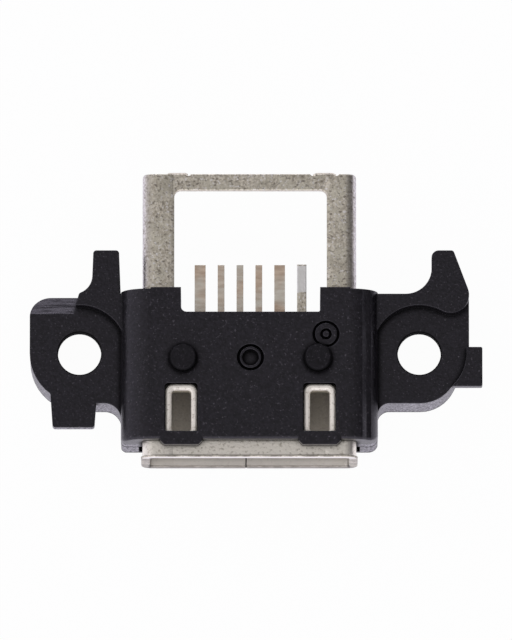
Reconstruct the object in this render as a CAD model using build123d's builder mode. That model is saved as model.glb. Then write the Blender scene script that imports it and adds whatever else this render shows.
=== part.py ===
from build123d import *
from math import cos, radians, sin, sqrt, tan
import os

os.makedirs("parts", exist_ok=True)

# A micro USB charging socket in a moulded bracket with two screw ears, in millimetres.
# X runs across, Y runs back from the mouth and Z runs up. The origin lies on the underside,
# midway between the two screw holes.

# Folded sheet shell
sheet = 0.26
opening_width = 6.90
opening_height = 1.85
fold_inside_radius = 0.14
mouth_to_screws = 3.77
tube_length = 4.52
frame_length = 9.97
frame_corner = 0.12
leg_width = 1.06
leg_flange_height = 0.95
rear_bar = 0.56
frame_window_corner = 0.23
lip_length = 0.07
lip_flare = 0.05
lip_round = 0.06
seam_x = -0.115
seam_line = 0.04
seam_web = 0.08
seam_key_depth = 0.50
seam_key_waist = 0.60
seam_key_head = 0.90
latch_width = 0.68
latch_length = 1.48
latch_corner = 0.13
latch_setback = 2.32
latch_spread = 4.80
collar_width = 0.21
collar_height = 0.28
collar_corner = 0.28
collar_edge = 0.06
ground_strip_width = 0.325
left_rear_tab_x = -2.50
left_rear_tab_width = 0.58
left_rear_tab_root = 0.73
right_rear_tab_x = 2.61
right_rear_tab_width = 0.51
right_rear_tab_root = 0.80
rear_tab_drop = 0.75
rear_tab_proud = 0.09
relief_radius = 0.12
relief_depth = 0.06

# Contacts, left to right
contact_names = ("power", "data_minus", "data_plus", "identity", "ground")
contact_sheet = 0.15
contact_pitch = 0.65
contact_width = 0.32
power_tail_width = 0.38
signal_tail_width = 0.235
ground_tail_width = 0.37
tail_gap = 0.42
tail_length = 1.725
crank_radius = 0.16

# Carrier moulding with its tongue
carrier_length = 0.45
tongue_width = 3.60
tongue_thickness = 0.60
tongue_setback = 0.77
tongue_clearance_below = 0.35
tongue_chamfer = 0.15
contact_proud = 0.03

# Bracket moulded over the shell
skin_below = 0.20
skin_above = 0.38
skin_beside = 0.75
mouth_proud = 0.59
rear_wall = 0.535
cheek_length = 0.815
shoulder_radius = 0.95
front_edge_radius = 0.10
left_front_corner = 0.21
right_front_corner = 0.33
front_corner_overrun = 0.015
parting_height = 1.20
parting_groove = 0.06
parting_depth = 0.10
tube_gap = 0.13
tube_gap_depth = 0.25
notch_overlap = 0.235
left_notch_corner = 0.20
right_notch_corner = 0.07
rear_lip = 0.05
rear_lip_width = 1.05
detail_shift = 0.04
window_gap = 0.02
window_front_cover = 0.02
window_corner = 0.12
pad_width = 1.46
pad_proud = 0.20
pad_bevel = 0.14
peg_spread = 4.68
peg_y = -0.36
peg_radius = 0.48
peg_height = 0.40
peg_edge = 0.06
gate_y = -0.32
gate_radius = 0.47
gate_ring_radius = 0.37
gate_bore_radius = 0.29
gate_depth = 0.25
pin_mark_x = 2.66
pin_mark_y = 0.50
pin_mark_radius = 0.47
pin_mark_ring_radius = 0.20
pin_mark_line = 0.09
pin_mark_depth = 0.20

# Screw ears, alike on both sides
screw_spacing = 11.80
screw_hole_radius = 0.75
screw_web = 0.45
screw_pocket_radius = 1.15
ear_height = 1.85
ear_radius = 1.73
ear_front_margin = 0.02
ear_setback = 0.07
recess_rim = 0.09
recess_depth = 0.45
horn_thickness = 0.60
horn_length = 1.53
horn_tip_radius = 0.11

# What only the left ear has, measured outward from its hole
left_ear_root = 0.57
left_ear_corner = 0.74
left_plateau_edge = 0.02
left_plateau_lean = 15.75
left_plateau_tip = 0.12
left_horn_outside = -0.42
left_horn_width = 1.01
left_horn_taper = 0.06
left_horn_root = 0.64
left_slope_length = 0.64
left_slope_drop = 0.40
left_foot_width = 1.45
left_foot_middle = 0.205
left_foot_length = 0.85
left_foot_taper = 0.10
left_foot_thickness = 0.42
left_foot_corner = 0.10

# What only the right ear has, measured outward from its hole
right_ear_root = 0.40
right_ear_corner = 0.15
right_ear_front = 0.832
right_ear_front_radius = 1.30
right_horn_inside = 0.43
right_horn_root = 0.90
right_horn_slant = 20.5
right_horn_inside_tip = 0.25
right_lobe_radius = 0.635
right_tab_reach = 2.19
right_tab_front = -1.19
right_tab_length = 1.38
right_tab_step = 0.25
right_tab_thickness = 0.40
right_tab_corner = 0.06

# Places that follow from the sizes
shell_width = opening_width + 2 * sheet
shell_height = opening_height + 2 * sheet
shell_floor = skin_below
shell_middle = shell_floor + shell_height / 2
shell_top = shell_floor + shell_height
roof_underside = shell_top - sheet
fold_outside_radius = fold_inside_radius + sheet
mouth_y = -mouth_to_screws
tube_rear = mouth_y + tube_length
frame_rear = mouth_y + frame_length
frame_window_width = shell_width - 2 * leg_width
rear_tab_back = frame_rear + rear_tab_proud
latch_rear = mouth_y + latch_setback
latch_middle = latch_rear - latch_length / 2
collar_rear = latch_rear + collar_width
collar_front = latch_rear - latch_length + window_front_cover
collar_outside = latch_width + 2 * collar_width
carrier_front = tube_rear - carrier_length
tongue_tip = mouth_y + tongue_setback
tongue_floor = shell_floor + sheet + tongue_clearance_below
finger_middle = tongue_floor + tongue_thickness + contact_proud - contact_sheet / 2
tail_middle = roof_underside + contact_sheet / 2
notch_floor = tube_rear + rear_wall
notch_width = frame_window_width - 2 * notch_overlap
crank_y = (tube_rear + notch_floor) / 2
tail_rear = notch_floor + tail_length
tail_widths = (power_tail_width,) + 3 * (signal_tail_width,) + (ground_tail_width,)
all_tail_widths = tail_widths + (ground_strip_width,)
tail_span = sum(all_tail_widths) + (len(all_tail_widths) - 1) * tail_gap
body_top = shell_top + skin_above
body_width = shell_width + 2 * skin_beside
body_side = body_width / 2
body_front = mouth_y + mouth_proud
body_rear = notch_floor + cheek_length
screw_x = screw_spacing / 2
recess_radius = ear_radius - recess_rim
ear_join_x = body_side - shoulder_radius
ear_end_x = screw_x + ear_radius
ear_front = -ear_radius - ear_front_margin
ear_rear = body_rear - ear_setback
horn_rear = ear_rear + horn_length
plateau_height = ear_height + recess_depth


def tail_x(place):
    """X of a tail counted from the left; the last is the ground strip of the shell."""
    left_edge = detail_shift - tail_span / 2 + sum(all_tail_widths[:place]) + place * tail_gap
    return left_edge + all_tail_widths[place] / 2


def pair_places(spread, y):
    """The places of a left and a right detail, which share a middle line."""
    return [(detail_shift - spread / 2, y), (detail_shift + spread / 2, y)]


def shell_section():
    """Outside of the folded shell, drawn as seen from the mouth."""
    with Locations((0, shell_middle)):
        RectangleRounded(shell_width, shell_height, fold_outside_radius)


def opening_section(mode=Mode.ADD):
    """The opening inside the folded shell, drawn as seen from the mouth."""
    with Locations((0, shell_middle)):
        RectangleRounded(opening_width, opening_height, fold_inside_radius, mode=mode)


# Form that the bracket is moulded over: the closed tube, and behind it the roof and sides that
# carry on as a rear frame, with the ground strip standing into the window of the frame
with BuildPart() as shell_form:
    with BuildSketch(Plane.XZ.offset(-mouth_y)):
        shell_section()
    extrude(amount=-tube_length)
    with BuildSketch(Plane.XZ.offset(-tube_rear)):
        shell_section()
        opening_section(mode=Mode.SUBTRACT)
        with Locations((0, shell_top - leg_flange_height)):
            Rectangle(shell_width, shell_height, align=(Align.CENTER, Align.MAX), mode=Mode.SUBTRACT)
    extrude(amount=tube_rear - frame_rear)
    with BuildSketch(Plane.XY.offset(shell_floor)) as frame_plan:
        with Locations((0, mouth_y)):
            Rectangle(shell_width, frame_length, align=(Align.CENTER, Align.MIN))
        fillet(frame_plan.vertices().group_by(Axis.Y)[-1], frame_corner)
    extrude(amount=shell_height, mode=Mode.INTERSECT)
    with BuildSketch(Plane.XY.offset(roof_underside)) as frame_window:
        with Locations((detail_shift, tube_rear)):
            window_length = frame_rear - rear_bar - tube_rear
            Rectangle(frame_window_width, window_length, align=(Align.CENTER, Align.MIN))
        fillet(frame_window.vertices().group_by(Axis.Y)[-1], frame_window_corner)
    extrude(amount=sheet, mode=Mode.SUBTRACT)
    with BuildSketch(Plane.XY.offset(roof_underside)):
        with Locations((tail_x(len(tail_widths)), tube_rear - sheet)):
            Rectangle(ground_strip_width, tail_rear - tube_rear + sheet, align=(Align.CENTER, Align.MIN))
    extrude(amount=sheet)

# Tabs of the shell, bent down at the rear bar, each wider at its root
rear_tabs = []
for tab_x, tab_width, tab_root in (
    (left_rear_tab_x, left_rear_tab_width, left_rear_tab_root),
    (right_rear_tab_x, right_rear_tab_width, right_rear_tab_root),
):
    with BuildPart() as rear_tab:
        with BuildSketch(Plane.YZ.offset(tab_x)) as tab_section:
            with BuildLine():
                Polyline(
                    (frame_rear - sheet, shell_top),
                    (rear_tab_back, shell_top),
                    (rear_tab_back, shell_top - rear_tab_drop),
                    (rear_tab_back - sheet, shell_top - rear_tab_drop),
                    (rear_tab_back - sheet, roof_underside),
                    (frame_rear - sheet, roof_underside),
                    close=True,
                )
            make_face()
            fillet(tab_section.vertices().sort_by_distance((rear_tab_back, shell_top))[0], sheet)
        extrude(amount=tab_root / 2, both=True)
        with BuildSketch(Plane.XY):
            with BuildLine():
                Polyline(
                    (tab_x - tab_root / 2, frame_rear - sheet),
                    (tab_x - tab_root / 2, frame_rear),
                    (tab_x - tab_width / 2, rear_tab_back),
                    (tab_x + tab_width / 2, rear_tab_back),
                    (tab_x + tab_root / 2, frame_rear),
                    (tab_x + tab_root / 2, frame_rear - sheet),
                    close=True,
                )
            make_face()
        extrude(amount=shell_top, mode=Mode.INTERSECT)
    rear_tabs.append(rear_tab.part)

# Shell: one sheet of nickel-plated steel, folded into the tube with a keyed seam under the tongue
with BuildPart() as shell:
    add(shell_form.part)
    # lip around the mouth, eased outside and inside
    with BuildSketch(Plane.XZ.offset(-mouth_y)):
        with Locations((0, shell_middle)):
            RectangleRounded(
                shell_width + 2 * lip_flare,
                shell_height + 2 * lip_flare,
                fold_outside_radius + lip_flare,
            )
    extrude(amount=-lip_length)
    with BuildSketch(Plane.XZ.offset(-mouth_y)):
        opening_section()
    extrude(amount=-tube_length, mode=Mode.SUBTRACT)
    fillet(shell.faces().sort_by(Axis.Y)[0].edges(), lip_round)
    # latch holes in the roof, each with its edge drawn up to a collar
    with BuildSketch(Plane.XY.offset(shell_top)) as collars:
        with Locations(*pair_places(latch_spread, collar_rear)):
            Rectangle(collar_outside, collar_rear - collar_front, align=(Align.CENTER, Align.MAX))
        fillet(collars.vertices().group_by(Axis.Y)[-1], collar_corner)
    extrude(amount=collar_height)
    with BuildSketch(Plane.XY.offset(roof_underside)):
        with Locations(*pair_places(latch_spread, latch_middle)):
            RectangleRounded(latch_width, latch_length, latch_corner)
    extrude(amount=sheet + collar_height, mode=Mode.SUBTRACT)
    collar_edges = shell.faces().group_by(Axis.Z)[-1].edges().group_by(Axis.Y)[1:]
    chamfer([edge for group in collar_edges for edge in group], collar_edge)
    # seam along the floor, locked by a dovetail key: a closed joint, so only a fine line on each face
    seam_middle = (mouth_y + tube_rear) / 2
    seam_depth = (sheet - seam_web) / 2
    with BuildSketch(Plane.XY.offset(shell_floor + sheet)) as seam:
        with BuildLine():
            Polyline(
                (seam_x, mouth_y - sheet),
                (seam_x, seam_middle - seam_key_waist / 2),
                (seam_x + seam_key_depth, seam_middle - seam_key_head / 2),
                (seam_x + seam_key_depth, seam_middle + seam_key_head / 2),
                (seam_x, seam_middle + seam_key_waist / 2),
                (seam_x, tube_rear + sheet),
            )
        trace(line_width=seam_line)
    extrude(amount=-seam_depth, mode=Mode.SUBTRACT)
    with BuildSketch(Plane.XY.offset(shell_floor - lip_flare)):
        add(seam.sketch)
    extrude(amount=lip_flare + seam_depth, mode=Mode.SUBTRACT)
    # relief notches beside the roots of the rear tabs, and the tabs
    with BuildSketch(Plane.XY.offset(roof_underside)):
        with Locations(
            (left_rear_tab_x + left_rear_tab_root / 2, frame_rear + relief_radius - relief_depth),
            (right_rear_tab_x - right_rear_tab_root / 2, frame_rear + relief_radius - relief_depth),
            (right_rear_tab_x + right_rear_tab_root / 2, frame_rear + relief_radius - relief_depth),
        ):
            Circle(relief_radius)
    extrude(amount=sheet, mode=Mode.SUBTRACT)
    for tab_part in rear_tabs:
        add(tab_part)
shell.part.label = "shell"
export_step(shell.part, "parts/shell.step")

# Contacts: strips of tinned copper alloy, blanked in plan and cranked up behind the carrier so
# that their tails lie level with the ground strip
contacts = []
for place, name in enumerate(contact_names):
    finger_x = detail_shift + (place - (len(contact_names) - 1) / 2) * contact_pitch
    finger_left = finger_x - contact_width / 2
    finger_right = finger_x + contact_width / 2
    tail_left = tail_x(place) - tail_widths[place] / 2
    tail_right = tail_x(place) + tail_widths[place] / 2
    with BuildPart() as contact:
        with BuildSketch(Plane.XY):
            with BuildLine():
                Polyline(
                    (finger_left, tongue_tip + tongue_chamfer),
                    (finger_right, tongue_tip + tongue_chamfer),
                    (finger_right, carrier_front),
                    (tail_right, tube_rear),
                    (tail_right, tail_rear),
                    (tail_left, tail_rear),
                    (tail_left, tube_rear),
                    (finger_left, carrier_front),
                    close=True,
                )
            make_face()
        extrude(amount=body_top)
        with BuildSketch(Plane.YZ):
            with BuildLine():
                FilletPolyline(
                    (tongue_tip, finger_middle),
                    (crank_y, finger_middle),
                    (crank_y, tail_middle),
                    (tail_rear + contact_sheet, tail_middle),
                    radius=crank_radius,
                )
            trace(line_width=contact_sheet)
        extrude(amount=shell_width, both=True, mode=Mode.INTERSECT)
    contact.part.label = name + "_contact"
    export_step(contact.part, "parts/" + name + "_contact.step")
    contacts.append(contact.part)

# Carrier: a black moulding that fills the rear of the tube, with the tongue that holds the contacts
with BuildPart() as carrier:
    with BuildSketch(Plane.XZ.offset(-carrier_front)):
        opening_section()
    extrude(amount=-carrier_length)
    with BuildSketch(Plane.XY.offset(tongue_floor)):
        with Locations((detail_shift, carrier_front)):
            Rectangle(tongue_width, carrier_front - tongue_tip, align=(Align.CENTER, Align.MAX))
    extrude(amount=tongue_thickness)
    chamfer(carrier.faces().sort_by(Axis.Y)[0].edges(), tongue_chamfer)
    for contact_part in contacts:
        add(contact_part, mode=Mode.SUBTRACT)
carrier.part.label = "carrier"
export_step(carrier.part, "parts/carrier.step")


def ear_base(side, front_points, front_radius, root_radius, rear_corner):
    """Plan of an ear up to the screw seat, with its front corner at the first of the front points."""
    body_corner = (side * body_side, ear_front)
    rear_point = (side * ear_end_x, ear_rear)
    with BuildSketch(Plane.XY) as base:
        with BuildLine():
            Polyline(
                (side * ear_join_x, ear_rear),
                (side * ear_join_x, ear_front - 2 * root_radius),
                (side * body_side, ear_front - 2 * root_radius),
                body_corner,
                *front_points,
                rear_point,
                close=True,
            )
        make_face()
        fillet(base.vertices().sort_by_distance(front_points[0])[0], front_radius)
        fillet(base.vertices().sort_by_distance(body_corner)[0], root_radius)
        fillet(base.vertices().sort_by_distance(rear_point)[0], rear_corner)
    return base.sketch


# Left ear: round about its hole, with a plateau that ends in a straight horn and a foot that
# reaches forward
left_base = ear_base(-1, [(-ear_end_x, ear_front)], -ear_front, left_ear_root, left_ear_corner)
plateau_lean = radians(left_plateau_lean)
plateau_edge_x = -screw_x - left_plateau_edge
with BuildSketch(Plane.XY) as left_plateau:
    horn_outside_x = -screw_x - left_horn_outside
    horn_inside_x = horn_outside_x + left_horn_width
    with BuildLine():
        Polyline(
            (-ear_end_x, 0),
            (-ear_end_x, ear_rear),
            (horn_outside_x, ear_rear),
            (horn_outside_x + left_horn_taper, horn_rear),
            (horn_inside_x - left_horn_taper, horn_rear),
            (horn_inside_x, ear_rear),
            (-ear_join_x, ear_rear),
            (-ear_join_x, 0),
            close=True,
        )
    make_face()
    fillet(left_plateau.vertices().group_by(Axis.Y)[-1], horn_tip_radius)
    fillet(left_plateau.vertices().sort_by_distance((horn_outside_x, ear_rear))[0], left_horn_root)
    # the outer end is cut off along a leaning edge
    with BuildLine():
        Polyline(
            (plateau_edge_x + left_horn_root * tan(plateau_lean), ear_rear + left_horn_root),
            (plateau_edge_x - ear_rear * tan(plateau_lean), 0),
            (-ear_end_x, 0),
            (-ear_end_x, ear_rear + left_horn_root),
            close=True,
        )
    make_face(mode=Mode.SUBTRACT)
    fillet(left_plateau.vertices().sort_by_distance((plateau_edge_x, ear_rear))[0], left_plateau_tip)

with BuildSketch(Plane.XY) as left_foot:
    foot_x = -screw_x - left_foot_middle
    foot_front = ear_front - left_foot_length
    with BuildLine():
        Polyline(
            (foot_x - left_foot_width / 2 - left_foot_taper, -screw_pocket_radius),
            (foot_x - left_foot_width / 2, foot_front),
            (foot_x + left_foot_width / 2, foot_front),
            (foot_x + left_foot_width / 2 + left_foot_taper, -screw_pocket_radius),
            close=True,
        )
    make_face()
    fillet(left_foot.vertices().group_by(Axis.Y)[0], left_foot_corner)

# Right ear: narrower towards the front, with a plateau that runs out into a lobe beside the
# recess, which carries a slanted horn, and with a tab that stands outward
right_base = ear_base(
    1,
    [(screw_x + right_ear_front, ear_front), (ear_end_x, 0)],
    right_ear_front_radius,
    right_ear_root,
    right_ear_corner,
)
lobe_x = ear_end_x - right_lobe_radius
lobe_y = sqrt((recess_radius + right_lobe_radius) ** 2 - (lobe_x - screw_x) ** 2)
slant = radians(right_horn_slant)
slant_x = lobe_x + right_lobe_radius * cos(slant)
slant_y = lobe_y + right_lobe_radius * sin(slant)
with BuildSketch(Plane.XY) as right_plateau:
    with BuildLine():
        Polyline(
            (ear_join_x, 0),
            (screw_x, 0),
            (lobe_x, lobe_y),
            (slant_x, slant_y),
            (slant_x - (horn_rear - slant_y) * tan(slant), horn_rear),
            (screw_x + right_horn_inside, horn_rear),
            (screw_x + right_horn_inside, ear_rear),
            (ear_join_x, ear_rear),
            close=True,
        )
    make_face()
    horn_root = right_plateau.vertices().sort_by_distance((screw_x + right_horn_inside, ear_rear))[0]
    fillet(horn_root, right_horn_root)
    fillet(right_plateau.vertices().group_by(Axis.Y)[-1].sort_by(Axis.X)[-1], horn_tip_radius)
    fillet(right_plateau.vertices().group_by(Axis.Y)[-1].sort_by(Axis.X)[0], right_horn_inside_tip)
    with Locations((lobe_x, lobe_y)):
        Circle(right_lobe_radius)

with BuildSketch(Plane.XY) as right_tab:
    with Locations((screw_x + right_tab_reach, right_tab_front)):
        Rectangle(right_tab_reach - screw_pocket_radius, right_tab_length, align=(Align.MAX, Align.MIN))
    fillet(right_tab.vertices().group_by(Axis.X)[-1], right_tab_corner)

# Both ears with what stands out from them, each with a round recess for the screw head
with BuildPart() as ears:
    extrude(left_base, amount=ear_height)
    extrude(right_base, amount=ear_height)
    with BuildSketch(Plane.XY.offset(plateau_height)):
        add(left_plateau.sketch)
        add(right_plateau.sketch)
    extrude(amount=-horn_thickness)
    with BuildSketch(Plane.XY.offset(ear_height + right_tab_step)):
        add(right_tab.sketch)
    extrude(amount=-right_tab_thickness)
    with BuildSketch(Plane.XY.offset(ear_height)):
        add(left_foot.sketch)
    extrude(amount=-left_foot_thickness)
    with BuildSketch(Plane.XY.offset(ear_height)):
        with Locations((-screw_x, 0), (screw_x, 0)):
            Circle(recess_radius)
    extrude(amount=recess_depth, mode=Mode.SUBTRACT)
    # slope behind the left hole, outside the leaning edge of the plateau
    plateau_side = Plane(
        origin=(plateau_edge_x, ear_rear, 0),
        x_dir=(sin(plateau_lean), cos(plateau_lean), 0),
        z_dir=(cos(plateau_lean), -sin(plateau_lean), 0),
    )
    with BuildSketch(plateau_side):
        with BuildLine():
            Polyline(
                (-left_slope_length / cos(plateau_lean), ear_height),
                (0, ear_height - left_slope_drop),
                (0, ear_height),
                close=True,
            )
        make_face()
    extrude(amount=2 * ear_radius, dir=(-1, 0, 0), mode=Mode.SUBTRACT)
    # screw holes, opened up from below so that a thin web lies under each screw head
    with BuildSketch(Plane.XY):
        with Locations((-screw_x, 0), (screw_x, 0)):
            Circle(screw_hole_radius)
    extrude(amount=ear_height, mode=Mode.SUBTRACT)
    with BuildSketch(Plane.XY):
        with Locations((-screw_x, 0), (screw_x, 0)):
            Circle(screw_pocket_radius)
    extrude(amount=ear_height - screw_web, mode=Mode.SUBTRACT)

# Bracket: one black moulding over the shell, with both ears and with windows at the latch holes
with BuildPart() as bracket:
    with BuildSketch(Plane.XZ.offset(-body_front)) as body_section:
        Rectangle(body_width, body_top, align=(Align.CENTER, Align.MIN))
        fillet(body_section.vertices().group_by(Axis.Y)[-1], shoulder_radius)
    extrude(amount=body_front - body_rear)
    with BuildSketch(Plane.XY) as body_plan:
        with Locations((0, body_front)):
            plan_width = body_width + 2 * front_corner_overrun
            Rectangle(plan_width, body_rear - body_front, align=(Align.CENTER, Align.MIN))
        for side, radius in ((-1, left_front_corner), (1, right_front_corner)):
            fillet(body_plan.vertices().sort_by_distance((side * body_side, body_front))[0], radius)
    extrude(amount=body_top, mode=Mode.INTERSECT)
    front_edges = bracket.faces().sort_by(Axis.Y)[0].edges().filter_by(Axis.X)
    fillet(front_edges.sort_by(Axis.Z)[-1], front_edge_radius)
    # parting line round the body, and below it a gap beside the tube
    with BuildSketch(Plane.XY.offset(parting_height - parting_groove / 2)):
        add(body_plan.sketch)
        offset(amount=-parting_depth, mode=Mode.SUBTRACT)
    extrude(amount=parting_groove, mode=Mode.SUBTRACT)
    with BuildSketch(Plane.XZ.offset(-body_front)):
        with Locations((0, shell_floor)):
            gap_height = parting_height - shell_floor
            Rectangle(shell_width + 2 * tube_gap, gap_height, align=(Align.CENTER, Align.MIN))
    extrude(amount=-tube_gap_depth, mode=Mode.SUBTRACT)
    add(ears.part)
    # lips over the legs at the rear
    with BuildSketch(Plane.XZ.offset(-body_rear)):
        for side, inner_edge in ((-1, Align.MAX), (1, Align.MIN)):
            with Locations((detail_shift + side * notch_width / 2, 0)):
                Rectangle(rear_lip_width, body_top, align=(inner_edge, Align.MIN))
    extrude(amount=-rear_lip)
    # notch that leaves the tails free
    with BuildSketch(Plane.XY) as notch:
        with Locations((detail_shift, notch_floor)):
            Rectangle(notch_width, body_rear, align=(Align.CENTER, Align.MIN))
        for side, radius in ((-1, left_notch_corner), (1, right_notch_corner)):
            notch_side = detail_shift + side * notch_width / 2
            fillet(notch.vertices().sort_by_distance((notch_side, notch_floor))[0], radius)
    extrude(amount=body_top, mode=Mode.SUBTRACT)
    # pads before the windows, and the windows themselves
    with BuildSketch(Plane.XY.offset(shell_top)) as pads:
        with Locations(*pair_places(latch_spread, body_front)):
            Rectangle(pad_width, 2 * pad_proud)
        chamfer(pads.vertices().group_by(Axis.Y)[0], pad_bevel)
    extrude(amount=skin_above)
    with BuildSketch(Plane.XY.offset(shell_top)) as windows:
        with Locations(*pair_places(latch_spread, collar_front)):
            window_length = collar_rear + window_gap - collar_front
            Rectangle(collar_outside + 2 * window_gap, window_length, align=(Align.CENTER, Align.MIN))
        fillet(windows.vertices().group_by(Axis.Y)[-1], window_corner)
    extrude(amount=skin_above, mode=Mode.SUBTRACT)
    # locating pegs
    with BuildSketch(Plane.XY.offset(body_top)):
        with Locations(*pair_places(peg_spread, peg_y)):
            Circle(peg_radius)
    extrude(amount=peg_height)
    chamfer(bracket.faces().group_by(Axis.Z)[-1].edges(), peg_edge)
    # gate mark: a ring left standing in a shallow recess, about a small bore
    with BuildSketch(Plane.XY.offset(body_top)):
        with Locations((detail_shift, gate_y)):
            Circle(gate_radius)
            Circle(gate_ring_radius, mode=Mode.SUBTRACT)
            Circle(gate_bore_radius)
    extrude(amount=-gate_depth, mode=Mode.SUBTRACT)
    # two fine rings left by a pin of the mould
    with BuildSketch(Plane.XY.offset(body_top)):
        with Locations((pin_mark_x, pin_mark_y)):
            Circle(pin_mark_radius)
            Circle(pin_mark_radius - pin_mark_line, mode=Mode.SUBTRACT)
            Circle(pin_mark_ring_radius)
            Circle(pin_mark_ring_radius - pin_mark_line, mode=Mode.SUBTRACT)
    extrude(amount=-pin_mark_depth, mode=Mode.SUBTRACT)
    # room for what it is moulded over
    add(shell_form.part, mode=Mode.SUBTRACT)
    for contact_part in contacts:
        add(contact_part, mode=Mode.SUBTRACT)
bracket.part.label = "bracket"
export_step(bracket.part, "parts/bracket.step")
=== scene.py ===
from math import cos, radians, sin

import bpy
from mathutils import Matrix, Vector

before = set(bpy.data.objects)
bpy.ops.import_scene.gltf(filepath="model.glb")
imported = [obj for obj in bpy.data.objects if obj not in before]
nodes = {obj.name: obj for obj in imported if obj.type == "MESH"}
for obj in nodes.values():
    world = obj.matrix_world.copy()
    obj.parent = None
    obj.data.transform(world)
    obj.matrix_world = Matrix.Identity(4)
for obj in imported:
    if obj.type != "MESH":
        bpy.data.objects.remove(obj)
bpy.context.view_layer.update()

# The five contacts are strips blanked from copper alloy and dull tinned. Their fingers lie on the
# tongue inside the shell, and their tails stand out level behind the bracket. They are held by the
# carrier, which is moulded round them.


class Level:
    """A number that varies over a surface. An expression on levels adds Math nodes to the tree."""

    def __init__(self, tree, socket):
        self.tree = tree
        self.socket = socket

    def math(self, operation, first, second):
        return self.tree.node("ShaderNodeMath", {"operation": operation}, {0: first, 1: second})

    def __add__(self, other):
        return self.math("ADD", self, other)

    def __radd__(self, other):
        return self.math("ADD", other, self)

    def __sub__(self, other):
        return self.math("SUBTRACT", self, other)

    def __rsub__(self, other):
        return self.math("SUBTRACT", other, self)

    def __mul__(self, other):
        return self.math("MULTIPLY", self, other)

    def __rmul__(self, other):
        return self.math("MULTIPLY", other, self)

    def __abs__(self):
        return self.tree.node("ShaderNodeMath", {"operation": "ABSOLUTE"}, {0: self})

    def at_least(self, other):
        return self.math("MAXIMUM", self, other)

    def root(self):
        return self.tree.node("ShaderNodeMath", {"operation": "SQRT"}, {0: self})


class Tree:
    """A node tree while it is being made."""

    def __init__(self, owner):
        owner.use_nodes = True
        self.nodes = owner.node_tree.nodes
        self.links = owner.node_tree.links

    def feed(self, node, values):
        for name, value in values.items():
            if isinstance(value, Level):
                self.links.new(value.socket, node.inputs[name])
            else:
                node.inputs[name].default_value = value

    def node(self, kind, settings=None, values=None, output=0):
        made = self.nodes.new(kind)
        for name, setting in (settings or {}).items():
            if name == "stops":
                while len(made.color_ramp.elements) < len(setting):
                    made.color_ramp.elements.new(1.0)
                for element, (position, level) in zip(made.color_ramp.elements, setting):
                    element.position = position
                    element.color = (level, level, level, 1.0)
            else:
                setattr(made, name, setting)
        self.feed(made, values or {})
        return Level(self, made.outputs[output])

    def parts(self, vector):
        """The X, Y and Z of a vector."""
        split = self.node("ShaderNodeSeparateXYZ", None, {0: vector})
        return [Level(self, socket) for socket in split.socket.node.outputs]

    def ramp(self, level, stops):
        return self.node("ShaderNodeValToRGB", {"stops": stops}, {"Fac": level})

    def across(self, distance, stops):
        """A ramp over a distance in millimetres, with its stops at such distances."""
        start = stops[0][0]
        length = stops[-1][0] - start
        shares = [((place - start) / length, share) for place, share in stops]
        return self.ramp((distance - start) * (1.0 / length), shares)

    def blend(self, share, first, second):
        values = {0: share, 6: first, 7: second}
        return self.node("ShaderNodeMix", {"data_type": "RGBA"}, values, output=2)


class Finish(Tree):
    """A material while it is being made, with its Principled shader."""

    def __init__(self, name, **constants):
        self.material = bpy.data.materials.new(name)
        super().__init__(self.material)
        self.shader = self.nodes["Principled BSDF"]
        for socket_name, value in constants.items():
            self.shader.inputs[socket_name.replace("_", " ")].default_value = value
        # places in the frame, in millimetres
        place = self.node("ShaderNodeTexCoord", output="Object")
        self.place = self.node(
            "ShaderNodeVectorMath", {"operation": "SCALE"}, {"Vector": place, "Scale": 1000.0}
        )

    def grain(self, per_mm, detail=2.0, stretch=(1.0, 1.0, 1.0)):
        """Fine random grain, from 0 to 1, with about so many grains to a millimetre."""
        place = self.node(
            "ShaderNodeVectorMath", {"operation": "MULTIPLY"}, {0: self.place, 1: stretch}
        )
        values = {"Vector": place, "Scale": per_mm, "Detail": detail}
        return self.node("ShaderNodeTexNoise", None, values)

    def openness(self, reach_mm):
        """How open a point lies, from 0 in a deep gap to 1 on a free face."""
        values = {"Distance": reach_mm / 1000.0}
        return self.node("ShaderNodeAmbientOcclusion", {"samples": 12}, values, output="AO")

    def relief(self, height, depth_mm, edge_mm):
        """Height over the surface, as a bump on edges that are eased by edge_mm."""
        eased = self.node("ShaderNodeBevel", {"samples": 8}, {"Radius": edge_mm / 1000.0})
        return self.node(
            "ShaderNodeBump",
            None,
            {"Height": height, "Distance": depth_mm / 1000.0, "Strength": 1.0, "Normal": eased},
        )

    def wear(self, node):
        node.data.materials.clear()
        node.data.materials.append(self.material)


tinned = Finish("tinned_contact_alloy", Metallic=1.0)
rolled_grain = tinned.grain(10.0, stretch=(0.5, 1.0, 1.0))
streaks = tinned.grain(7.0, detail=3.0, stretch=(0.25, 1.0, 1.0))
streaks = tinned.ramp(streaks, [(0.36, 0.0), (0.64, 1.0)])
patches = tinned.ramp(tinned.grain(1.1), [(0.40, 0.0), (0.60, 1.0)])
tin_colour = tinned.blend(patches, (0.78, 0.64, 0.50, 1.0), (0.78, 0.74, 0.64, 1.0))
bare_colour = tinned.blend(patches, (0.58, 0.45, 0.34, 1.0), (0.64, 0.57, 0.47, 1.0))
tinned.feed(tinned.shader, {
    "Base Color": tinned.blend(streaks, bare_colour, tin_colour),
    "Roughness": 0.34 + 0.22 * rolled_grain,
    "Normal": tinned.relief(rolled_grain, 0.004, 0.015),
})
for name in ("power", "data_minus", "data_plus", "identity", "ground"):
    tinned.wear(nodes[name + "_contact"])

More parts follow.
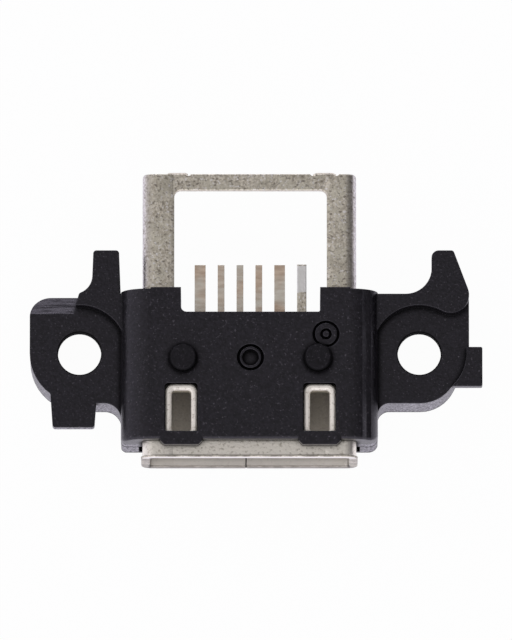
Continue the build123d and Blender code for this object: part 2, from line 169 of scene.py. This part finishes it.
# The carrier is a black moulding that fills the rear of the tube and holds the contacts in its
# tongue. It is pressed into the shell from behind.
moulded_black = Finish("carrier_plastic", IOR=1.45)
moulding_grain = moulded_black.grain(7.0)
black = moulded_black.blend(
    moulding_grain, (0.010, 0.010, 0.011, 1.0), (0.020, 0.019, 0.021, 1.0)
)
moulded_black.feed(moulded_black.shader, {
    "Base Color": black,
    "Roughness": 0.45 + 0.2 * moulding_grain,
    "Normal": moulded_black.relief(moulding_grain, 0.006, 0.03),
})
moulded_black.wear(nodes["carrier"])

# The shell is one sheet of steel, stamped and folded round the carrier, and then plated with dull
# nickel. Its colour has painted highlights at the latch holes and the mouth, and painted shade in
# the creases at the mouth.
plated = Finish("plated_shell")
outward, along_tube, above_base = plated.parts(plated.place)
beside_middle = abs(outward)
mouthward = -1.0 * along_tube
plate_grain = plated.ramp(plated.grain(15.0, stretch=(1.0, 0.8, 1.0)), [(0.32, 0.0), (0.68, 1.0)])
matt_colour = plated.blend(plate_grain, (0.47, 0.425, 0.34, 1.0), (0.90, 0.845, 0.715, 1.0))
smooth = plated.ramp(plated.grain(1.9, detail=3.0), [(0.44, 0.0), (0.58, 0.6)])
matt_colour = plated.blend(smooth, matt_colour, (0.735, 0.70, 0.575, 1.0))
flakes = plated.ramp(plated.grain(11.0, detail=3.0), [(0.57, 0.0), (0.68, 1.0)])
plate_colour = plated.blend(flakes, matt_colour, (0.95, 0.925, 0.89, 1.0))
# broad stains, a painted cool reflection on the flanks of the frame, and painted shade along its
# folds
stains = plated.ramp(plated.grain(1.5, detail=4.0), [(0.52, 0.0), (0.68, 0.4)])
outer_colour = plated.blend(stains, plate_colour, (0.42, 0.39, 0.31, 1.0))
on_frame = plated.across(along_tube, [(0.0, 0.0), (0.1, 1.0)])
flank_share = on_frame * plated.across(beside_middle, [(3.50, 0.0), (3.66, 0.6)])
flank_reflection_colour = plated.blend(plate_grain, (0.44, 0.43, 0.47, 1.0), (0.90, 0.89, 0.97, 1.0))
outer_colour = plated.blend(flank_share, outer_colour, flank_reflection_colour)
fold_shade = plated.across(beside_middle, [(3.34, 0.0), (3.45, 0.5), (3.54, 0.5), (3.64, 0.0)])
outer_colour = plated.blend(on_frame * fold_shade, outer_colour, (0.34, 0.32, 0.28, 1.0))
# the latch-hole collars and the mouth's roof carry a pale, less metallic painted highlight, apart
# from pits
collar_share = plated.across(above_base, [(2.60, 0.0), (2.66, 1.0)])
mouth_share = plated.across(mouthward, [(3.10, 0.0), (3.25, 0.95), (3.69, 0.95), (3.73, 0.1)])
painted_highlight = collar_share.at_least(mouth_share)
highlighted_colour = plated.blend(painted_highlight, outer_colour, (0.99, 0.95, 0.85, 1.0))
pits = plated.grain(11.0, detail=5.0, stretch=(0.8, 1.0, 1.0))
pits = plated.ramp(pits, [(0.32, 0.9), (0.45, 0.0)])
pit_colour = plated.blend(painted_highlight, (0.25, 0.22, 0.18, 1.0), (0.62, 0.58, 0.49, 1.0))
pitted_highlighted_colour = plated.blend(pits, highlighted_colour, pit_colour)
# the lip's front is darker below the opening, and carries a painted highlight above it
lip_share = plated.across(mouthward, [(3.69, 0.0), (3.72, 1.0)])
low_lip_darkening = lip_share * plated.across(above_base, [(0.50, 0.80), (0.60, 0.0)])
pitted_highlighted_colour = plated.blend(low_lip_darkening, pitted_highlighted_colour, (0.33, 0.31, 0.28, 1.0))
upper_lip = plated.across(above_base, [(2.20, 0.0), (2.30, 1.0)])
lip_front_highlight = upper_lip * plated.across(mouthward, [(3.750, 0.0), (3.765, 1.0)])
pitted_highlighted_colour = plated.blend(lip_front_highlight, pitted_highlighted_colour, (0.99, 0.97, 0.92, 1.0))
# the floor inside the tube is smoother, and has painted light towards the mouth and painted shade
# further in
floor_share = plated.across(above_base, [(0.9, 0.8), (1.0, 0.0)]) * (1.0 - lip_share)
mouth_light = plated.across(mouthward, [(2.60, 0.0), (3.40, 0.15), (3.60, 1.0)])
floor_light_and_shade = plated.blend(mouth_light, (0.52, 0.49, 0.43, 1.0), (0.97, 0.94, 0.88, 1.0))
sheet_colour = plated.blend(floor_share, pitted_highlighted_colour, floor_light_and_shade)
# the end of the ground strip was left smooth by the solder
strip_end = plated.across(along_tube, [(2.02, 0.0), (2.06, 1.0), (2.96, 1.0), (2.98, 0.0)])
on_strip = plated.across(outward, [(1.60, 0.0), (1.62, 1.0), (1.98, 1.0), (2.00, 0.0)])
sheet_colour = plated.blend(strip_end * on_strip, sheet_colour, (0.95, 0.945, 0.915, 1.0))
# painted shade lies in the creases behind the lip and beside the floor, in patches
roof_crease = plated.across(mouthward, [(3.690, 0.0), (3.712, 0.65), (3.755, 0.70), (3.768, 0.0)])
floor_crease = plated.across(mouthward, [(3.71, 0.0), (3.73, 0.5)])
side_crease = plated.across(beside_middle, [(3.40, 0.0), (3.43, 0.7), (3.49, 0.7), (3.52, 0.0)])
side_crease = side_crease * plated.across(above_base, [(0.80, 1.0), (0.95, 0.0)])
side_crease = side_crease * plated.across(mouthward, [(3.20, 0.0), (3.45, 1.0)])
painted_crease_shade = upper_lip * roof_crease + (1.0 - upper_lip) * floor_crease + side_crease
painted_crease_shade = painted_crease_shade * plated.ramp(plated.grain(3.0), [(0.35, 0.35), (0.60, 1.0)])
sheet_colour = plated.blend(painted_crease_shade, sheet_colour, (0.10, 0.09, 0.07, 1.0))
# no light comes out of narrow gaps and inner corners
gap_share = plated.ramp(plated.openness(0.30), [(0.25, 0.92), (0.60, 0.0)])
gap_share = (1.0 - collar_share) * gap_share
# the cut edges of the frame's legs are drawn down a little
drawn_down = plated.across(beside_middle, [(2.64, 0.0), (2.70, 0.4), (2.80, 0.75), (3.0, 1.0)])
height = plate_grain * (0.45 - 0.45 * floor_share) + 5.0 * drawn_down
plated.feed(plated.shader, {
    "Base Color": plated.blend(gap_share, sheet_colour, (0.01, 0.01, 0.01, 1.0)),
    "Metallic": 1.0 - 0.75 * collar_share,
    "Roughness": 0.26 + 0.22 * plated.grain(2.2) + 0.3 * floor_share,
    "Normal": plated.relief(height, 0.007, 0.06),
})
plated.wear(nodes["shell"])

# The bracket is moulded over the shell in black glass-filled plastic, and carries the socket on
# its two screw ears. Its mould was finished by spark erosion, which leaves a fine grain all over.
eroded = Finish("bracket_plastic", IOR=1.50, Specular_Tint=(0.92, 0.89, 1.0, 1.0))
right_of_middle, behind_screws, above_base = eroded.parts(eroded.place)
beside_middle = abs(right_of_middle)
facing = eroded.parts(eroded.node("ShaderNodeTexCoord", output="Normal"))[1]
erosion = eroded.grain(14.0, detail=3.0)
mottle = eroded.ramp(eroded.grain(10.0, detail=4.0), [(0.38, 0.0), (0.66, 1.0)])
plastic_colour = eroded.blend(mottle, (0.0, 0.0, 0.0, 1.0), (0.008, 0.0072, 0.0096, 1.0))
sparkle = eroded.ramp(eroded.grain(13.0), [(0.62, 0.0), (0.76, 1.0)])
plastic_colour = eroded.blend(sparkle, plastic_colour, (0.065, 0.06, 0.07, 1.0))
# the slope of the left ear has a painted reflection that lightens it, and is rubbed in dark streaks
slope = eroded.ramp(facing, [(0.44, 0.0), (0.48, 1.0), (0.58, 1.0), (0.62, 0.0)])
plastic_colour = eroded.blend(0.35 * slope, plastic_colour, (0.09, 0.085, 0.105, 1.0))
streaks = eroded.grain(13.0, detail=3.0, stretch=(0.09, 1.0, 1.0))
rubbed = slope * eroded.ramp(streaks, [(0.44, 0.0), (0.62, 0.6)])
# the walls towards the mouth carry a pale painted reflection in specks, with dark specks
front_walls = eroded.ramp(-1.0 * facing, [(0.5, 0.0), (0.9, 1.0)])
front_walls = front_walls * eroded.across(above_base, [(1.70, 1.0), (1.80, 0.0)])
front_wall_reflection = front_walls * eroded.ramp(eroded.grain(15.0, detail=3.0), [(0.40, 0.0), (0.62, 1.0)])
specks = front_walls * eroded.ramp(eroded.grain(11.0, detail=3.0), [(0.53, 0.0), (0.64, 0.6)])
# a shallow flute runs along the right shoulder
flute = eroded.across(right_of_middle, [(3.92, 0.0), (4.06, 1.0), (4.22, 0.0)])
eroded.feed(eroded.shader, {
    "Base Color": eroded.blend(front_wall_reflection, plastic_colour, (0.36, 0.345, 0.395, 1.0)),
    "Roughness": 0.22 + 0.2 * erosion,
    "Normal": eroded.relief(erosion - 6.0 * flute, 0.010, 0.05),
})
# painted shade keeps the inner corners, the screw holes and the feet of the pegs dull and black,
# and the parting line, the specks and the streaks on the slope are dark marks in the same black
dull = eroded.ramp(eroded.openness(0.28), [(0.50, 0.9), (0.88, 0.0)])
screw_spacing = 11.80
across_screw = beside_middle - screw_spacing / 2
from_screw = (across_screw * across_screw + behind_screws * behind_screws).root()
dull = dull.at_least(eroded.across(from_screw, [(0.77, 0.95), (0.79, 0.0)]))
peg_spread = 4.68
pegs_right = 0.04
pegs_forward = 0.36
across_peg = abs(right_of_middle - pegs_right) - peg_spread / 2
along_peg = behind_screws + pegs_forward
from_peg = (across_peg * across_peg + along_peg * along_peg).root()
dull = dull.at_least(
    eroded.across(from_peg, [(0.40, 0.35), (0.44, 0.85), (0.50, 0.85), (0.57, 0.0)])
)
dull = dull.at_least(specks).at_least(rubbed)
parting = eroded.across(above_base, [(1.14, 0.0), (1.17, 0.9), (1.23, 0.9), (1.26, 0.0)])
on_body = eroded.across(beside_middle, [(4.47, 1.0), (4.49, 0.0)])
dull = dull.at_least(parting * on_body)
shade_and_dark_marks = eroded.node("ShaderNodeBsdfDiffuse", None, {"Color": (0.002, 0.002, 0.002, 1.0)})
clean = Level(eroded, eroded.shader.outputs["BSDF"])
surface = eroded.node("ShaderNodeMixShader", None, {0: dull, 1: clean, 2: shade_and_dark_marks})
eroded.feed(eroded.nodes["Material Output"], {"Surface": surface})
eroded.wear(nodes["bracket"])

# The floor is one pale sheet under the object. It looks white from the camera and nearly white in
# reflections, and keeps part of the shadow.
floor_reach = 0.6
corners = [(-floor_reach, -floor_reach, 0.0), (floor_reach, -floor_reach, 0.0)]
corners += [(floor_reach, floor_reach, 0.0), (-floor_reach, floor_reach, 0.0)]
sheet = bpy.data.meshes.new("floor")
sheet.from_pydata(corners, [], [(0, 1, 2, 3)])
floor = bpy.data.objects.new("floor", sheet)
bpy.context.scene.collection.objects.link(floor)
paper = Finish("floor_paper", Roughness=0.9, Base_Color=(0.85, 0.84, 0.88, 1.0))
seen = paper.node("ShaderNodeLightPath", output="Is Camera Ray")
mirrored = Level(paper, seen.socket.node.outputs["Is Glossy Ray"])
white = paper.blend(mirrored, (1.0, 1.0, 1.0, 1.0), (0.94, 0.91, 1.0, 1.0))
self_lit = paper.node("ShaderNodeEmission", None, {"Color": white, "Strength": 1.0})
lit = Level(paper, paper.shader.outputs["BSDF"])
self_lit_share = 0.97 * seen + 0.95 * mirrored
surface = paper.node("ShaderNodeMixShader", None, {0: self_lit_share, 1: lit, 2: self_lit})
paper.feed(paper.nodes["Material Output"], {"Surface": surface})
floor.data.materials.append(paper.material)

# Soft studio light: a pale surround that is brighter on the left and in front, and three soft lamps
# low behind the object.
world = bpy.data.worlds.new("surround")
bpy.context.scene.world = world
surround = Tree(world)
rightward, backward, upward = surround.parts(
    surround.node("ShaderNodeTexCoord", output="Generated")
)
in_front = (-1.0 * backward).at_least(0.0)
brightness = 0.49 - 0.36 * rightward - 0.28 * backward + 0.9 * in_front
seen = surround.node("ShaderNodeLightPath", output="Is Camera Ray")
surround.feed(surround.nodes["Background"], {
    "Color": surround.blend(upward, (0.93, 0.90, 1.0, 1.0), (0.98, 0.955, 0.975, 1.0)),
    "Strength": seen.at_least(brightness),
})

for name, place, width, power in (
    ("left_rear_lamp", (-0.20, 0.24, 0.15), 0.14, 0.16),
    ("right_rear_lamp", (0.22, 0.22, 0.12), 0.10, 0.08),
    ("rear_lamp", (0.0, 0.385, 0.11), 0.16, 0.22),
):
    lamp = bpy.data.lights.new(name, "AREA")
    lamp.size = width
    lamp.energy = power
    lamp.color = (0.95, 0.92, 1.0)
    holder = bpy.data.objects.new(name, lamp)
    holder.location = place
    holder.rotation_euler = Vector(place).to_track_quat("Z", "Y").to_euler()
    bpy.context.scene.collection.objects.link(holder)

# The camera looks down from in front at the photograph's angle. It stands far off, so that the
# object shows hardly any perspective.
camera_elevation = radians(80)
camera_distance = 0.60
aim = Vector((0.00023, 0.001103, 0.0023))
picture_height = 0.02222
camera_data = bpy.data.cameras.new("camera")
camera_data.sensor_fit = "VERTICAL"
camera_data.sensor_height = 24.0
camera_data.lens = camera_data.sensor_height * camera_distance / picture_height
camera_data.clip_start = 0.005
camera = bpy.data.objects.new("camera", camera_data)
toward = Vector((0.0, -cos(camera_elevation), sin(camera_elevation)))
camera.location = aim + camera_distance * toward
camera.rotation_euler = toward.to_track_quat("Z", "Y").to_euler()
bpy.context.scene.collection.objects.link(camera)
bpy.context.scene.camera = camera
bpy.context.scene.view_settings.view_transform = "Standard"
